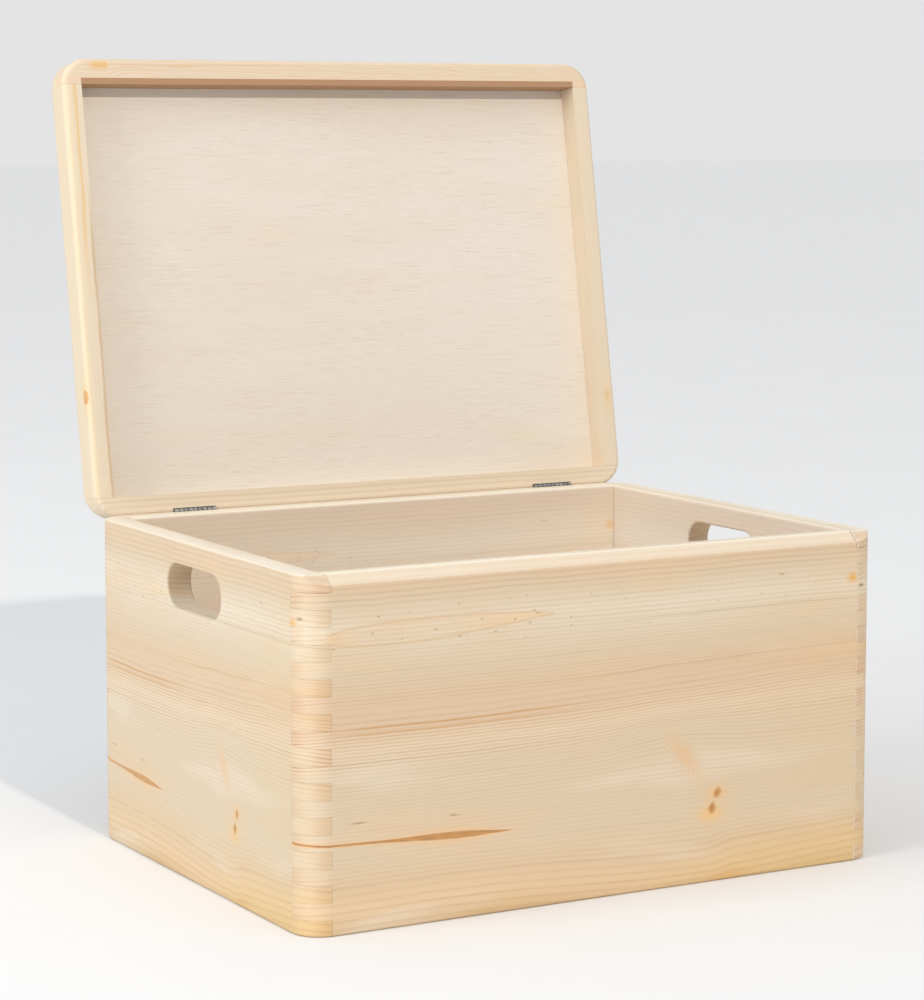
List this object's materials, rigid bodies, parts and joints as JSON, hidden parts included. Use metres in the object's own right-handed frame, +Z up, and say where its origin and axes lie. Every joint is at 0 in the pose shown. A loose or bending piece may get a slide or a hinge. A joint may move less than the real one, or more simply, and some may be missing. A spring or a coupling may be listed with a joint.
{
  "type": "wooden toy box",
  "caption": "Open-topped rectangular pine box with finger-jointed rounded corners, a hand hole in each end and a framed plywood lid on butt hinges.",
  "frame": {"origin": "the middle of the box's underside, on the bottom panel", "axes": "+Z up, +X along the box's width to the right as seen from the front, -Y out of the front panel; the lid is hinged at the +Y side and stands open"},
  "size_m": [0.4, 0.3706, 0.5017],
  "materials": {
    "pine": "bare planed and sanded pine, satin",
    "plywood": "bare sanded plywood, matt",
    "hinge_steel": "zinc-plated steel, satin"
  },
  "bodies": {
    "box": {"front_panel": "pine", "back_panel": "pine", "left_side_panel": "pine", "right_side_panel": "pine", "bottom_panel": "plywood", "left_hinge_box_leaf": "hinge_steel", "left_hinge_box_screw_1": "hinge_steel", "left_hinge_box_screw_2": "hinge_steel", "right_hinge_box_leaf": "hinge_steel", "right_hinge_box_screw_1": "hinge_steel", "right_hinge_box_screw_2": "hinge_steel", "left_hinge_pin": "hinge_steel", "right_hinge_pin": "hinge_steel"},
    "lid": {"lid_front_rail": "pine", "lid_back_rail": "pine", "lid_left_rail": "pine", "lid_right_rail": "pine", "lid_panel": "plywood", "left_hinge_lid_leaf": "hinge_steel", "left_hinge_lid_screw_1": "hinge_steel", "left_hinge_lid_screw_2": "hinge_steel", "right_hinge_lid_leaf": "hinge_steel", "right_hinge_lid_screw_1": "hinge_steel", "right_hinge_lid_screw_2": "hinge_steel"}
  },
  "joints": [
    {"name": "lid_hinge", "type": "hinge", "parent": "box", "child": "lid", "pos_m": [0, 0.14857, 0.20815], "axis": [1, 0, 0], "range_deg": [0, 99.8]}
  ]
}
